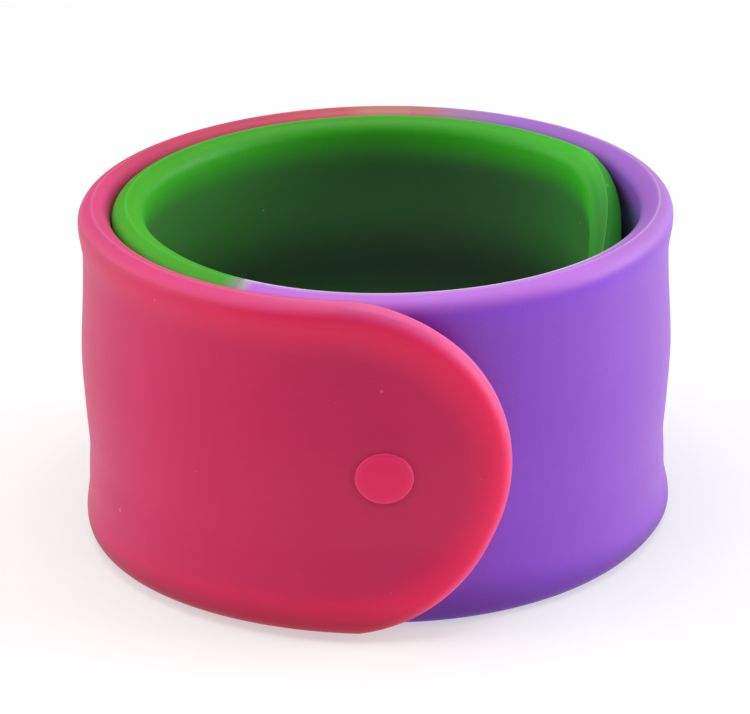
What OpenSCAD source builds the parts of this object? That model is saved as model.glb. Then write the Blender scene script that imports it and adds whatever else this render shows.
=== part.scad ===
// A silicone slap bracelet that has coiled itself up: one flat band in three colours,
// round at both ends, wound nearly two turns and standing on its lower edge.
// A place on the band is [along, across, out]: the distance from the outer end along the
// middle of the wall, the height above the band's centre line and the distance outwards.

/* [Band] */
// Length of the band laid out flat
band_length = 230; // [215:5:240]
// Width of the band, and the diameter of its round ends
band_width = 25; // [22:1:28]
// Length of the coloured section at each end
end_section_length = 79; // [60:1:90]
// Thickness of the band at its lip
lip_thickness = 2.4; // [2:0.1:2.8]
// Width of the lip that runs all round the band
lip_width = 1.6; // [1.5:0.1:2]
// Distance over which each face falls away behind the lip
lip_fall = 2.2; // [1.5:0.1:2.4]
// Depth of each face behind the lip
face_depth = 0.25; // [0:0.05:0.4]
// Gap between two coloured sections
section_gap = 0.05; // [0.02:0.01:0.2]

/* [Coil] */
// Radius of the coil at the outer end, to the middle of the wall
coil_radius = 22.4; // [22:0.2:26]
// Gap between one turn and the next
turn_gap = 0.1; // [0.1:0.1:1]
// Direction of the outer end, seen from above
outer_end_angle = -68; // [-180:2:180]
// Length of the inner end that curls away from the turn around it
curl_length = 9; // [6:1:14]
// Distance by which that end curls in
curl_depth = 2.5; // [0:0.5:3]
// Direction of the side of the coil that leans in
lean_side = -148; // [-180:2:180]
// Angle by which it leans in
lean_angle = 2.5; // [0:0.5:3]
// Turn of the coil over which the lean dies away
lean_spread = 30; // [20:5:50]
// Height by which the outer end is lifted
lift_height = 0.5; // [0:0.1:1]
// Length over which the lift dies away
lift_length = 50; // [40:5:75]
// Direction of the side of the coil where the lower edge flares out
flare_side = -8; // [-180:2:180]
// Distance by which it flares out
flare_distance = 0.25; // [0:0.05:0.4]
// Turn of the coil over which the flare dies away
flare_spread = 15; // [10:5:30]
// Height above the lower edge up to which it reaches
flare_height = 3; // [2:0.5:5]

/* [Plug] */
// Radius of the plug that closes the moulding hole
plug_radius = 1.9; // [1.5:0.1:2.4]
// Distance of the plug from the outer end
plug_inset = 8.8; // [7:0.2:11]
// Depth of the plug below the face
plug_depth = 1; // [0.6:0.1:1.2]
// Height of the plug's dome above the face
plug_dome = 0.2; // [0.1:0.05:0.4]
// Gap around the plug and below it
plug_gap = 0.05; // [0.02:0.01:0.1]

/* [Colours] */
// Colour of the outer end's section
pink = "#d23a62";
// Colour of the middle section
purple = "#9a5ccf";
// Colour of the inner end's section
green = "#43a336";

/* [Hidden] */

end_radius = band_width / 2;
half_lip = lip_thickness / 2;
edge_radius = half_lip;
pitch = lip_thickness + turn_gap;
degrees_per_radian = 180 / PI;
plug_floor = half_lip - face_depth - plug_depth;
plug_facets = 96;
dome_rings = 6;
slack = 1;

// The wall's bows, a row for each: both faces swing inwards there, or outwards below zero.
// Columns: height above the centre line, distance inwards, spread up and down.
BOWS = [
    [-5.8, 0.12, 1.6],
    [1.1, -0.27, 3.8],
    [9.0, 0.08, 3.0],
];

// The lanes that run round the band at one distance from its edge, from the crown inwards.
// The first ones go round the edge by equal angles, and the last one borders the middle strip.
EDGE_STEPS = 4;
INNER_LANES = [
    lip_width,
    lip_width + lip_fall / 2,
    lip_width + lip_fall,
    end_radius - 6.5,
    end_radius - 4,
    end_radius - 1.5,
];
LANES = concat(
    [for (i = [0 : EDGE_STEPS]) edge_radius * (1 - cos(90 * i / EDGE_STEPS))],
    INNER_LANES
);
LAST_LANE = len(LANES) - 1;
RING = 2 * LAST_LANE + 1;
STATION_STEP = 2.2;
ARC_STEPS = 24;

// The coil, seen from above

// Angle wound from the outer end to a length along the plain spiral
function spiral_angle(along) =
    (coil_radius - sqrt(pow(coil_radius, 2) - pitch * along / PI)) * 360 / pitch;

CURL_START = spiral_angle(band_length - curl_length);
CURL_SWEEP = spiral_angle(band_length) - CURL_START;

function curl_share(wound) = max(0, (wound - CURL_START) / CURL_SWEEP);

function radius(wound) =
    coil_radius - pitch * wound / 360 - curl_depth * pow(curl_share(wound), 2);

// Change of the radius for each radian wound
function slope(wound) =
    (-pitch / 360 - 2 * curl_depth * curl_share(wound) / CURL_SWEEP) * degrees_per_radian;

function stretch(wound) = norm([radius(wound), slope(wound)]) / degrees_per_radian;

// Length along the true coil against the angle wound, a row for each step
WIND_STEP = 0.5;
WOUND = [
    for (
        wound = 0, along = 0;
        along < band_length + slack;
        along = along + stretch(wound + WIND_STEP / 2) * WIND_STEP,
        wound = wound + WIND_STEP
    ) [along, wound]
];

function wound_at(along) = lookup(along, WOUND);

// The shape of the wall

function smooth(share) =
    let (u = min(max(share, 0), 1)) u * u * (3 - 2 * u);

// Angle between two directions, from -180 to 180
function turn_between(a, b) = a - b - 360 * round((a - b) / 360);

function lean(wound) =
    lean_angle * exp(-pow(turn_between(outer_end_angle - wound, lean_side) / lean_spread, 2));

function lift(along) = lift_height * (1 - smooth(along / lift_length));

// Distance by which the wall flares outwards near the lower edge
function flare(along, across) =
    flare_distance
    * exp(-pow(turn_between(outer_end_angle - wound_at(along), flare_side) / flare_spread, 2))
    * smooth((flare_height - end_radius - across) / flare_height);

function sum(values) = [for (value = values) 1] * values;

// Distance by which the wall swings inwards at a height
function bow(across) = sum([for (row = BOWS) row[1] * exp(-pow((across - row[0]) / row[2], 2))]);

// Distance of a face from the middle of the wall, at a distance in from the edge
function wall(inset) =
    let (round_in = min(inset / edge_radius, 1))
    half_lip * sqrt(1 - pow(1 - round_in, 2))
    - face_depth * smooth((inset - lip_width) / lip_fall);

// The directions that the band has at a length along it: out through the wall and up across it
function outward(along) =
    let (
        wound = wound_at(along),
        heading = outer_end_angle - wound,
        skew = atan2(slope(wound), radius(wound))
    )
    [cos(heading + skew), sin(heading + skew), 0];

function face_normal(along) =
    let (tilt = lean(wound_at(along)))
    cos(tilt) * outward(along) + [0, 0, sin(tilt)];

function across_axis(along) =
    let (tilt = lean(wound_at(along)))
    -sin(tilt) * outward(along) + [0, 0, cos(tilt)];

function coil_centre(along) =
    let (wound = wound_at(along), heading = outer_end_angle - wound)
    [
        radius(wound) * cos(heading),
        radius(wound) * sin(heading),
        end_radius + lift(along),
    ];

// A place on the band, coiled up
function coiled(along, across, out) =
    coil_centre(along)
    + across * across_axis(along)
    + (out - bow(across) + flare(along, across)) * face_normal(along);

// Stations along a section's outline: each is [centre, angle], where the angle says in which
// direction the lanes lie from that centre of the flat band. 90 is the upper edge.

function straight_stations(from, to, angle) =
    let (steps = ceil(abs(to - from) / STATION_STEP))
    [for (i = [0 : steps]) [from + (to - from) * i / steps, angle]];

function arc_stations(centre, from, to) =
    [for (i = [1 : ARC_STEPS - 1]) [centre, from + (to - from) * i / ARC_STEPS]];

function station_ring(station) = [
    for (i = [-LAST_LANE : LAST_LANE])
        let (
            inset = LANES[abs(i)],
            reach = end_radius - inset,
            along = station[0] + reach * cos(station[1]),
            across = reach * sin(station[1])
        )
        coiled(along, across, -sign(i) * wall(inset))
];

function section_points(stations) = [for (station = stations) each station_ring(station)];

// Triangles between rings of points. Ring j holds the points j * RING to j * RING + 2 * LAST_LANE,
// from the middle of the outer face over the crown to the middle of the inner face.

function split(a, b, c, d) = [[a, b, c], [a, c, d]];

function is_whole(face) =
    face[0] != face[1] && face[1] != face[2] && face[2] != face[0];

// The wall between two neighbouring rings
function strip(j, k) = [
    for (i = [0 : RING - 2])
        each split(j * RING + i, j * RING + i + 1, k * RING + i + 1, k * RING + i)
];

// The middle strip of both faces between the rings j and j + 1 and the rings that face them
function ladder(j, last) =
    let (
        a = j * RING,
        b = (j + 1) * RING,
        c = (last - j - 1) * RING,
        d = (last - j) * RING,
        under = RING - 1
    )
    concat(
        split(a, b, c, d),
        split(d + under, c + under, b + under, a + under)
    );

// The flat cut across the band between the ring of the upper edge and that of the lower one
function cut(upper, lower) =
    let (a = upper * RING, b = lower * RING, under = RING - 1)
    concat(
        [for (i = [0 : LAST_LANE - 1]) each split(a + i + 1, a + i, a + under - i, a + under - i - 1)],
        [for (i = [0 : LAST_LANE - 1]) each split(b + i, b + i + 1, b + under - i - 1, b + under - i)],
        split(a, b, b + under, a + under)
    );

function flipped(faces) = [for (face = faces) [face[0], face[2], face[1]]];

// Faces of a section that is round at one end. Its stations run from the cut along one edge,
// round the end and back along the other edge.
function end_section_faces(last) = [
    for (face = concat(
        [for (j = [0 : last - 1]) each strip(j, j + 1)],
        [for (j = [0 : last / 2 - 1]) each ladder(j, last)],
        cut(0, last)
    )) if (is_whole(face)) face
];

// Faces of a section that is cut at both ends. Its stations run along the upper edge and back
// along the lower one.
function middle_section_faces(last) =
    let (turn = (last - 1) / 2)
    [
        for (face = concat(
            [for (j = [0 : last - 1]) if (j != turn) each strip(j, j + 1)],
            [for (j = [0 : turn - 1]) each ladder(j, last)],
            cut(0, last),
            flipped(cut(turn, turn + 1))
        )) if (is_whole(face)) face
    ];

PINK_END = end_section_length - section_gap / 2;
PURPLE_START = end_section_length + section_gap / 2;
PURPLE_END = band_length - PURPLE_START;
GREEN_START = band_length - PINK_END;
INNER_CENTRE = band_length - end_radius;

PINK_STATIONS = concat(
    straight_stations(PINK_END, end_radius, 90),
    arc_stations(end_radius, 90, 270),
    straight_stations(end_radius, PINK_END, 270)
);
PURPLE_STATIONS = concat(
    straight_stations(PURPLE_END, PURPLE_START, 90),
    straight_stations(PURPLE_START, PURPLE_END, 270)
);
GREEN_STATIONS = concat(
    straight_stations(GREEN_START, INNER_CENTRE, 90),
    arc_stations(INNER_CENTRE, 90, -90),
    straight_stations(INNER_CENTRE, GREEN_START, -90)
);

PINK_POINTS = section_points(PINK_STATIONS);
PURPLE_POINTS = section_points(PURPLE_STATIONS);
GREEN_POINTS = section_points(GREEN_STATIONS);

// The origin is on the ground below the middle of the coil's outline
ALL_POINTS = concat(PINK_POINTS, PURPLE_POINTS, GREEN_POINTS);
XS = [for (p = ALL_POINTS) p.x];
YS = [for (p = ALL_POINTS) p.y];
FOOTPRINT_CENTRE = [(min(XS) + max(XS)) / 2, (min(YS) + max(YS)) / 2, 0];

module at_origin() {
    translate(-FOOTPRINT_CENTRE) children();
}

// Places what is drawn around +Z from the middle of the wall outwards
module on_outer_face(along) {
    place = coiled(along, 0, 0);
    normal = face_normal(along);
    translate(place)
        rotate([0, acos(normal.z), atan2(normal.y, normal.x)])
            children();
}

module plug_recess() {
    on_outer_face(plug_inset)
        translate([0, 0, plug_floor])
            cylinder(r = plug_radius + plug_gap, h = plug_depth + slack, $fn = plug_facets);
}

// The outer end, with the blind recess that the plug fills
module pink_section() {
    color(pink)
        at_origin()
            difference() {
                polyhedron(PINK_POINTS, end_section_faces(len(PINK_STATIONS) - 1), convexity = 8);
                plug_recess();
            }
}

module purple_section() {
    color(purple)
        at_origin()
            polyhedron(PURPLE_POINTS, middle_section_faces(len(PURPLE_STATIONS) - 1), convexity = 8);
}

module green_section() {
    color(green)
        at_origin()
            polyhedron(
                GREEN_POINTS,
                flipped(end_section_faces(len(GREEN_STATIONS) - 1)),
                convexity = 8
            );
}

// The plug stands on the recess's floor and ends in a low dome
module plug() {
    top = half_lip - face_depth;
    dome = [
        for (i = [0 : dome_rings])
            let (angle = 90 * i / dome_rings)
            [plug_radius * cos(angle), top + plug_dome * sin(angle)]
    ];
    color(pink)
        at_origin()
            on_outer_face(plug_inset)
                rotate_extrude($fn = plug_facets)
                    polygon(concat(
                        [[0, plug_floor + plug_gap], [plug_radius, plug_floor + plug_gap]],
                        dome
                    ));
}

pink_section();
purple_section();
green_section();
plug();
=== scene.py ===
"""Dresses a coiled silicone slap bracelet: one band in three colours, and the plug near its outer end.

Each section of the band is moulded flat, as a plain mesh in millimetres, and then wound into the coil by one
Geometry Nodes tree. A place on the flat band is (along, across, out): the distance from the outer end, the
height above the band's centre line and the distance out from the middle of the wall.
"""
from __future__ import annotations

import logging
import math
import sys
from dataclasses import dataclass, field
from enum import Enum
from typing import Any, Sequence, Union

import bmesh
import bpy
import numpy as np
from mathutils import Matrix, Vector


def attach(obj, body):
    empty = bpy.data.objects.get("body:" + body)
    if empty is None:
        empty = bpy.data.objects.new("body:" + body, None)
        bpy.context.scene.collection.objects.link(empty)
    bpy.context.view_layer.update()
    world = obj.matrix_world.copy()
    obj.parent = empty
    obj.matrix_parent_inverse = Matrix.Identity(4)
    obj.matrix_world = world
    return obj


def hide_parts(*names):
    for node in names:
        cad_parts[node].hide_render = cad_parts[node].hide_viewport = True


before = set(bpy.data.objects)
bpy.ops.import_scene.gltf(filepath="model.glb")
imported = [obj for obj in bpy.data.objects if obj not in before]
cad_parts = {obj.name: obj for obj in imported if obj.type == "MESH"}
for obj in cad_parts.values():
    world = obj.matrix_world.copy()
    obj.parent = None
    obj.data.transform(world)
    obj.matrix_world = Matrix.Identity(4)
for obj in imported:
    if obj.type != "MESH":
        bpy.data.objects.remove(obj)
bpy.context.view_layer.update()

LOG = logging.getLogger("slap_bracelet")
ROOT = "root"
PLUG = "plug"
FLAT_PLACE = "flat_place"
MM = 0.001
QUARTER_TURN = 90.0
QUAD_CORNERS = 4
NOISE_MEAN = 0.5
WHITE = (1.0, 1.0, 1.0, 1.0)

Colour = tuple[float, float, float]
Value = Union["Wire", float, int, Sequence[float]]


def smoothed(share: np.ndarray) -> np.ndarray:
    """Eases shares from 0 to 1 in and out."""
    return share * share * (3 - 2 * share)


def bell(distance: np.ndarray, spread: float) -> np.ndarray:
    """Returns a share that is 1 where the distance is 0 and dies away over the spread."""
    return np.exp(-((distance / spread) ** 2))


class Wire:
    """An output of a node, which takes part in expressions."""

    def __init__(self, graph: "Graph", socket: bpy.types.NodeSocket) -> None:
        """Keeps the graph that the socket belongs to."""
        self.graph = graph
        self.socket = socket

    def __add__(self, other: Value) -> "Wire":
        """Adds a value."""
        return self.graph.maths("ADD", self, other)

    def __radd__(self, other: Value) -> "Wire":
        """Adds this to a value."""
        return self.graph.maths("ADD", other, self)

    def __sub__(self, other: Value) -> "Wire":
        """Takes a value away."""
        return self.graph.maths("SUBTRACT", self, other)

    def __rsub__(self, other: Value) -> "Wire":
        """Takes this away from a value."""
        return self.graph.maths("SUBTRACT", other, self)

    def __mul__(self, other: Value) -> "Wire":
        """Multiplies by a value."""
        return self.graph.maths("MULTIPLY", self, other)

    def __rmul__(self, other: Value) -> "Wire":
        """Multiplies a value by this."""
        return self.graph.maths("MULTIPLY", other, self)

    def __truediv__(self, other: Value) -> "Wire":
        """Divides by a value."""
        return self.graph.maths("DIVIDE", self, other)

    def __neg__(self) -> "Wire":
        """Turns the sign."""
        return self.graph.maths("MULTIPLY", self, -1.0)

    def __pow__(self, other: Value) -> "Wire":
        """Raises to a power."""
        return self.graph.maths("POWER", self, other)


class Graph:
    """A shader or geometry node tree, written as expressions on wires."""

    def __init__(self, tree: bpy.types.NodeTree) -> None:
        """Keeps the tree that nodes are added to."""
        self.tree = tree

    def node(self, kind: str, settings: dict[str, Any] | None = None, **inputs: Value) -> bpy.types.Node:
        """Adds a node.

        Args:
            kind: the node's type.
            settings: its properties, set before its sockets.
            inputs: values or wires by socket name, with _ for a space, or by number as in n0.

        Returns:
            The node.
        """
        made = self.tree.nodes.new(kind)
        for name, value in (settings or {}).items():
            setattr(made, name, value)
        for name, value in inputs.items():
            number = name[1:]
            key = int(number) if number.isdigit() else name.replace("_", " ")
            socket = made.inputs[key]
            if isinstance(value, Wire):
                self.tree.links.new(value.socket, socket)
            else:
                socket.default_value = value
        return made

    def wire(self, kind: str, settings: dict[str, Any] | None = None, output: int | str = 0,
             **inputs: Value) -> Wire:
        """Adds a node and returns one of its outputs."""
        return Wire(self, self.node(kind, settings, **inputs).outputs[output])

    def maths(self, operation: str, *values: Value) -> Wire:
        """Adds a Math node for an operation on numbers."""
        inputs = {f"n{number}": value for number, value in enumerate(values)}
        return self.wire("ShaderNodeMath", {"operation": operation}, **inputs)

    def smooth(self, value: Value, low: Value, high: Value) -> Wire:
        """Returns a mask that rises smoothly from 0 at low to 1 at high."""
        return self.wire("ShaderNodeMapRange", {"interpolation_type": "SMOOTHSTEP"},
                         Value=value, From_Min=low, From_Max=high)

    def bell(self, distance: Value, spread: Value) -> Wire:
        """Returns a mask that is 1 where the distance is 0 and dies away over the spread."""
        share = self.maths("DIVIDE", distance, spread)
        return self.maths("EXPONENT", -(share * share))

    def parts(self, vector: Wire) -> tuple[Wire, Wire, Wire]:
        """Splits a vector into its three numbers."""
        made = self.node("ShaderNodeSeparateXYZ", n0=vector)
        return tuple(Wire(self, output) for output in made.outputs)

    def vector(self, x: Value, y: Value, z: Value) -> Wire:
        """Joins three numbers into a vector."""
        return self.wire("ShaderNodeCombineXYZ", X=x, Y=y, Z=z)

    def scaled(self, vector: Wire, factor: float) -> Wire:
        """Multiplies a vector by a number."""
        return self.wire("ShaderNodeVectorMath", {"operation": "SCALE"}, n0=vector, Scale=factor)

    def stretched(self, vector: Wire, factors: Value) -> Wire:
        """Multiplies each of a vector's numbers by a factor of its own."""
        return self.wire("ShaderNodeVectorMath", {"operation": "MULTIPLY"}, n0=vector, n1=factors)

    def distance(self, first: Wire, second: Wire) -> Wire:
        """Returns the distance made by two distances at right angles."""
        return self.maths("SQRT", first * first + second * second)

    def noise(self, place: Wire, scale: float, detail: float) -> Wire:
        """Returns a noise pattern's value at a place."""
        return self.wire("ShaderNodeTexNoise", output="Fac", Vector=place, Scale=scale, Detail=detail)

    def mixed(self, share: Value, start: Value, end: Value, blend: str = "MIX") -> Wire:
        """Mixes two colours. A Mix node's sockets go by number, because their names repeat.

        Args:
            share: how much of the second colour is taken.
            start: the first colour, as a wire or as three numbers.
            end: the second colour.
            blend: the node's way of blending them.

        Returns:
            The mixed colour.
        """
        first, second = (colour if isinstance(colour, Wire) else (*colour, 1.0) for colour in (start, end))
        settings = {"data_type": "RGBA", "blend_type": blend}
        return self.wire("ShaderNodeMix", settings, output=2, n0=share, n6=first, n7=second)

    def shaded(self, colour: Wire, light: Wire) -> Wire:
        """Multiplies a colour by the share of light that is left on it."""
        return self.mixed(1.0, colour, self.vector(light, light, light), "MULTIPLY")

    def ramp(self, value: Wire, stops: Sequence[tuple[float, Colour]]) -> Wire:
        """Turns a number from 0 to 1 into a colour.

        Args:
            value: the number.
            stops: the ramp's stops, as (place, colour).

        Returns:
            The colour.
        """
        made = self.node("ShaderNodeValToRGB", n0=value)
        elements = made.color_ramp.elements
        while len(elements) < len(stops):
            elements.new(1.0)
        for element, (place, colour) in zip(elements, stops):
            element.position = place
            element.color = (*colour, 1.0)
        return Wire(self, made.outputs[0])


class Section(Enum):
    """The band's coloured sections, named as their solids are."""

    PINK = "pink_section"
    PURPLE = "purple_section"
    GREEN = "green_section"


@dataclass(frozen=True)
class Moulding:
    """Sizes of the flat band, in millimetres, and turns round its edge, in degrees."""

    length: float = 230.0
    width: float = 25.0
    end_section: float = 79.0
    lip_thickness: float = 2.4
    lip_width: float = 1.6
    lip_fall: float = 2.2
    face_depth: float = 0.25
    tip_radius: float = 12.65
    ridge_out: float = 0.13
    ridge_height: float = 0.045
    ridge_spread: float = 0.07
    crease: float = 0.3
    crease_power: int = 3
    step_depth: float = 0.05
    step_out: float = -0.2
    step_spread: float = 0.2
    face_lanes: tuple[float, ...] = (3.4, 3.0, 2.6, 2.25, 1.95, 1.7, 1.5, 1.35)
    ridge_turns: tuple[float, ...] = (-6.0, -4.0, -2.6, -1.3, 0.0, 1.3, 2.6, 4.0, 6.0)
    ridge_clear: float = 8.0
    edge_turn: float = 7.5

    @property
    def second_joint(self) -> float:
        """Place of the joint from purple to green. The first joint is at the end section's length."""
        return self.length - self.end_section

    @property
    def end_radius(self) -> float:
        """Radius of the round ends."""
        return self.width / 2

    @property
    def half_lip(self) -> float:
        """Half the thickness at the lip, and the radius of the edge."""
        return self.lip_thickness / 2

    @property
    def half_core(self) -> float:
        """Half the thickness of the core, inside the lip."""
        return self.half_lip - self.face_depth

    @property
    def inner_inset(self) -> float:
        """Distance from the edge at which the flat part of a face starts."""
        return self.lip_width + self.lip_fall

    def wall(self, inset: np.ndarray) -> np.ndarray:
        """Works out how far a face stands from the middle of the wall.

        Args:
            inset: distances in from the edge.

        Returns:
            The face's distances out.
        """
        round_in = np.minimum(inset / self.half_lip, 1)
        fallen = np.clip((inset - self.lip_width) / self.lip_fall, 0, 1)
        soft = smoothed(fallen)
        creased = 1 - (1 - fallen) ** self.crease_power
        fall = soft + self.crease * (creased - soft)
        return self.half_lip * np.sqrt(1 - (1 - round_in) ** 2) - self.face_depth * fall

    def lanes(self) -> tuple[np.ndarray, np.ndarray]:
        """Lays the lanes that go round the edge, from the outer face over the crown to the inner face.

        Returns:
            The distance in from the edge and the distance out from the middle of the wall, for each lane.
        """
        face = np.array([self.inner_inset, *self.face_lanes])
        ridge_turn = math.degrees(math.asin(self.ridge_out / self.half_lip))
        fine = ridge_turn + np.array(self.ridge_turns)
        coarse = np.arange(-QUARTER_TURN, QUARTER_TURN + self.edge_turn / 2, self.edge_turn)
        coarse = coarse[np.abs(coarse - ridge_turn) > self.ridge_clear]
        angles = np.radians(np.sort(np.concatenate([coarse, fine])))[::-1]
        out = self.half_lip * np.sin(angles)
        ridge = self.ridge_height * bell(out - self.ridge_out, self.ridge_spread)
        step = self.step_depth * bell(out - self.step_out, self.step_spread)
        reach = self.half_lip + ridge - step
        inset = np.concatenate([face, self.half_lip - reach * np.cos(angles), face[::-1]])
        out = np.concatenate([self.wall(face), reach * np.sin(angles), -self.wall(face[::-1])])
        return inset, out


class Draft:
    """Points and faces of a mesh that is being drawn on the flat band."""

    def __init__(self) -> None:
        """Starts with nothing drawn."""
        self.points: list[np.ndarray] = []
        self.faces: list[tuple[int, ...]] = []
        self.count = 0

    def add(self, along: Any, across: Any, out: Any) -> np.ndarray:
        """Adds points.

        Args:
            along: their places along the band.
            across: their heights above the centre line.
            out: their distances from the middle of the wall.

        Returns:
            Their numbers, in the shape that they came in.
        """
        along, across, out = np.broadcast_arrays(along, across, out)
        points = np.stack([along, across, out], -1).reshape(-1, 3).astype(float)
        numbers = np.arange(self.count, self.count + len(points)).reshape(along.shape)
        self.points.append(points)
        self.count += len(points)
        return numbers

    def net(self, rows: np.ndarray, closed: bool = False) -> None:
        """Joins rows of points by four-sided faces.

        Args:
            rows: numbers of the points, a row for each line across.
            closed: whether the last row joins the first.
        """
        after = np.roll(rows, -1, axis=0) if closed else rows[1:]
        before = rows if closed else rows[:-1]
        corners = np.stack([before[:, :-1], before[:, 1:], after[:, 1:], after[:, :-1]], -1)
        self.faces.extend(map(tuple, corners.reshape(-1, 4).tolist()))

    def fan(self, ring: np.ndarray, centre: int) -> None:
        """Joins a closed ring of points to one point."""
        after = np.roll(ring, -1)
        self.faces.extend((int(a), int(b), centre) for a, b in zip(ring, after))

    def mesh(self, name: str) -> bpy.types.Mesh:
        """Makes the mesh, closed and facing outwards, with sharp edges round its flat cuts.

        Args:
            name: the mesh's name.

        Returns:
            The mesh, smooth apart from the cuts.
        """
        made = bpy.data.meshes.new(name)
        made.from_pydata(np.concatenate(self.points) * MM, [], self.faces)
        shape = bmesh.new()
        shape.from_mesh(made)
        bmesh.ops.recalc_face_normals(shape, faces=shape.faces)
        for face in shape.faces:
            is_cut = len(face.verts) > QUAD_CORNERS
            face.smooth = not is_cut
            if is_cut:
                for edge in face.edges:
                    edge.smooth = False
        shape.to_mesh(made)
        shape.free()
        return made


@dataclass
class Plug:
    """The round plug that closes the moulding hole, and the recess that it stands in.

    Sizes are in millimetres and turns in degrees. The shares are of the radius on the base and on the dome,
    and of the height on the wall.
    """

    radius: float = 1.94
    inset: float = 8.8
    depth: float = 1.0
    dome: float = 0.2
    sag: float = 0.04
    seat: float = 0.02
    gap: float = 0.01
    shoulder: float = 0.3
    mouth: float = 0.012
    facets: int = 96
    mouth_turns: tuple[float, ...] = (30.0, 60.0, 90.0)
    base_shares: tuple[float, ...] = (0.5, 0.97, 1.0)
    wall_shares: tuple[float, ...] = (0.03, 0.9)
    shoulder_turns: tuple[float, ...] = (0.0, 15.0, 30.0, 45.0, 60.0, 75.0, 90.0)
    dome_shares: tuple[float, ...] = (0.8, 0.6, 0.4, 0.2)
    moulding: Moulding = field(default_factory=Moulding)

    @property
    def face(self) -> float:
        """Distance of the face around the plug from the middle of the wall."""
        return self.moulding.half_core

    @property
    def bore(self) -> float:
        """Radius of the recess."""
        return self.radius + self.gap

    def circle(self, draft: Draft, radius: float, out: float, angles: np.ndarray) -> np.ndarray:
        """Adds a circle of points about the plug's centre."""
        return draft.add(self.inset + radius * np.cos(angles), radius * np.sin(angles), out)

    def recess(self, draft: Draft, mouth_ring: np.ndarray, angles: np.ndarray) -> None:
        """Draws the rounded mouth, the wall and the floor of the recess.

        Args:
            draft: the draft of the section that holds it.
            mouth_ring: numbers of the points round its mouth.
            angles: their directions from the plug's centre.
        """
        floor = self.face - self.depth
        rings = [mouth_ring]
        for turn in np.radians(self.mouth_turns):
            radius = self.bore + self.mouth * (1 - math.sin(turn))
            rings.append(self.circle(draft, radius, self.face - self.mouth * (1 - math.cos(turn)), angles))
        rings.append(self.circle(draft, self.bore, floor, angles))
        draft.net(np.stack(rings, 1), closed=True)
        draft.fan(rings[-1], int(draft.add(self.inset, 0.0, floor)))

    def mesh(self) -> bpy.types.Mesh:
        """Draws the plug: flat below, straight sided, with a soft shoulder and a low dome.

        Returns:
            The mesh, in its place on the flat band.
        """
        draft = Draft()
        angles = np.linspace(0, 2 * math.pi, self.facets, endpoint=False)
        floor = self.face - self.depth + self.gap
        top = self.face + self.dome
        flat = self.radius - self.shoulder
        height = self.face - self.seat - floor
        rise = self.dome - self.sag + self.seat
        profile = [(self.radius * share, floor) for share in self.base_shares]
        profile += [(self.radius, floor + share * height) for share in self.wall_shares]
        profile += [
            (flat + self.shoulder * math.cos(turn), top - self.sag - rise * (1 - math.sin(turn)))
            for turn in np.radians(self.shoulder_turns)
        ]
        profile += [(flat * share, top - self.sag * share * share) for share in self.dome_shares]
        rings = [self.circle(draft, radius, out, angles) for radius, out in profile]
        draft.net(np.stack(rings, 1), closed=True)
        draft.fan(rings[0], int(draft.add(self.inset, 0.0, floor)))
        draft.fan(rings[-1], int(draft.add(self.inset, 0.0, top)))
        return draft.mesh(f"{PLUG}_flat")


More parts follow.
